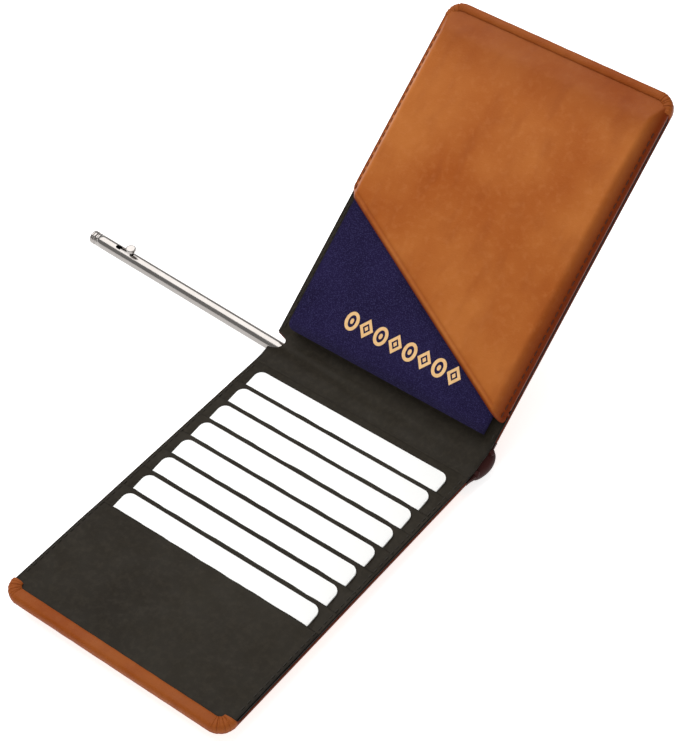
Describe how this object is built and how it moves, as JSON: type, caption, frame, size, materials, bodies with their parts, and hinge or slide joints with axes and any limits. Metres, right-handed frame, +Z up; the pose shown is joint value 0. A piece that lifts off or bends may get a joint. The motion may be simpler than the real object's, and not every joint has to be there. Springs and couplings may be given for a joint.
{
  "type": "travel document organizer",
  "caption": "Folding leather travel wallet with stepped card pockets, a diagonal passport pocket and a bolt-action mini pen that slides out of the spine.",
  "frame": {"origin": "middle of the flat underside of the card side, on the surface it lies on", "axes": "+X along the spine, away from the pen's mouth; +Y from the card side across the spine to the passport side; +Z up"},
  "size_m": [0.1922, 0.2604, 0.1016],
  "materials": {
    "tan_leather": "satin, fine grain, burnished edges",
    "charcoal_lining": "matte, soft grain",
    "backing_cloth": "matte",
    "dark_thread": "matte",
    "blank_card": "smooth",
    "booklet_cloth": "fine woven grain",
    "booklet_pages": "matte",
    "steel": "polished",
    "refill_plastic": "smooth",
    "brass": "polished"
  },
  "bodies": {
    "card_side": {"card_side_cover": "tan_leather", "card_side_hem": "tan_leather", "card_side_lining": "charcoal_lining", "card_side_backing": "backing_cloth", "card_side_seam_left": "dark_thread", "card_side_seam_right": "dark_thread", "front_pocket_panel": "charcoal_lining", "pocket_panel_2": "charcoal_lining", "pocket_panel_3": "charcoal_lining", "pocket_panel_4": "charcoal_lining", "pocket_panel_5": "charcoal_lining", "pocket_panel_6": "charcoal_lining", "pocket_panel_7": "charcoal_lining", "pocket_panel_8": "charcoal_lining"},
    "spine": {"spine_cover": "tan_leather", "spine_lining": "charcoal_lining"},
    "passport_side": {"passport_side_cover": "tan_leather", "passport_side_hem": "tan_leather", "passport_side_lining": "charcoal_lining", "passport_pocket_front": "tan_leather", "passport_side_seam_left": "dark_thread", "passport_side_seam_right": "dark_thread", "passport_back_cover": "booklet_cloth", "passport_front_cover": "booklet_cloth", "passport_bound_edge": "booklet_cloth", "passport_pages": "booklet_pages"},
    "pen": {"pen_barrel": "steel", "pen_end_cap": "steel", "pen_tip_cone": "steel", "pen_spring": "steel"},
    "pen_bolt": {"pen_bolt_knob": "steel", "pen_bolt_carrier": "steel", "pen_refill_tube": "refill_plastic", "pen_refill_point": "brass"},
    "card_1": {"card_1": "blank_card"},
    "card_2": {"card_2": "blank_card"},
    "card_3": {"card_3": "blank_card"},
    "card_4": {"card_4": "blank_card"},
    "card_5": {"card_5": "blank_card"},
    "card_6": {"card_6": "blank_card"},
    "card_7": {"card_7": "blank_card"},
    "card_8": {"card_8": "blank_card"}
  },
  "joints": [
    {"name": "card_fold", "type": "hinge", "parent": "card_side", "child": "spine", "pos_m": [0, 0.0702, 0.008], "axis": [-1, 0, 0], "range_deg": [-70.5, 19.5]},
    {"name": "passport_fold", "type": "hinge", "parent": "spine", "child": "passport_side", "pos_m": [0, 0.07963, 0.01134], "axis": [-1, 0, 0], "range_deg": [-70.5, 19.5]},
    {"name": "pen_slide", "type": "slide", "parent": "spine", "child": "pen", "axis": [-0.9994, 0.0329, 0.0116], "range_m": [-0.0708, 0.015]},
    {"name": "bolt_slide", "type": "slide", "parent": "pen", "child": "pen_bolt", "axis": [-0.9994, 0.0329, 0.0116], "range_m": [0, 0.0057], "deforming": ["pen_spring"]},
    {"name": "card_1_slide", "type": "slide", "parent": "card_side", "child": "card_1", "axis": [0, 0.9928, 0.12], "range_m": [0, 0.03]},
    {"name": "card_2_slide", "type": "slide", "parent": "card_side", "child": "card_2", "axis": [0, 0.9928, 0.12], "range_m": [0, 0.03]},
    {"name": "card_3_slide", "type": "slide", "parent": "card_side", "child": "card_3", "axis": [0, 0.9928, 0.12], "range_m": [0, 0.03]},
    {"name": "card_4_slide", "type": "slide", "parent": "card_side", "child": "card_4", "axis": [0, 0.9928, 0.12], "range_m": [0, 0.03]},
    {"name": "card_5_slide", "type": "slide", "parent": "card_side", "child": "card_5", "axis": [0, 0.9928, 0.12], "range_m": [0, 0.03]},
    {"name": "card_6_slide", "type": "slide", "parent": "card_side", "child": "card_6", "axis": [0, 0.9928, 0.12], "range_m": [0, 0.03]},
    {"name": "card_7_slide", "type": "slide", "parent": "card_side", "child": "card_7", "axis": [0, 0.9928, 0.12], "range_m": [0, 0.02]},
    {"name": "card_8_slide", "type": "slide", "parent": "card_side", "child": "card_8", "axis": [0, 0.9928, 0.12], "range_m": [0, 0.01]}
  ],
  "couplings": [
    {"joint": "passport_fold", "follows": "card_fold", "ratio": 1}
  ]
}
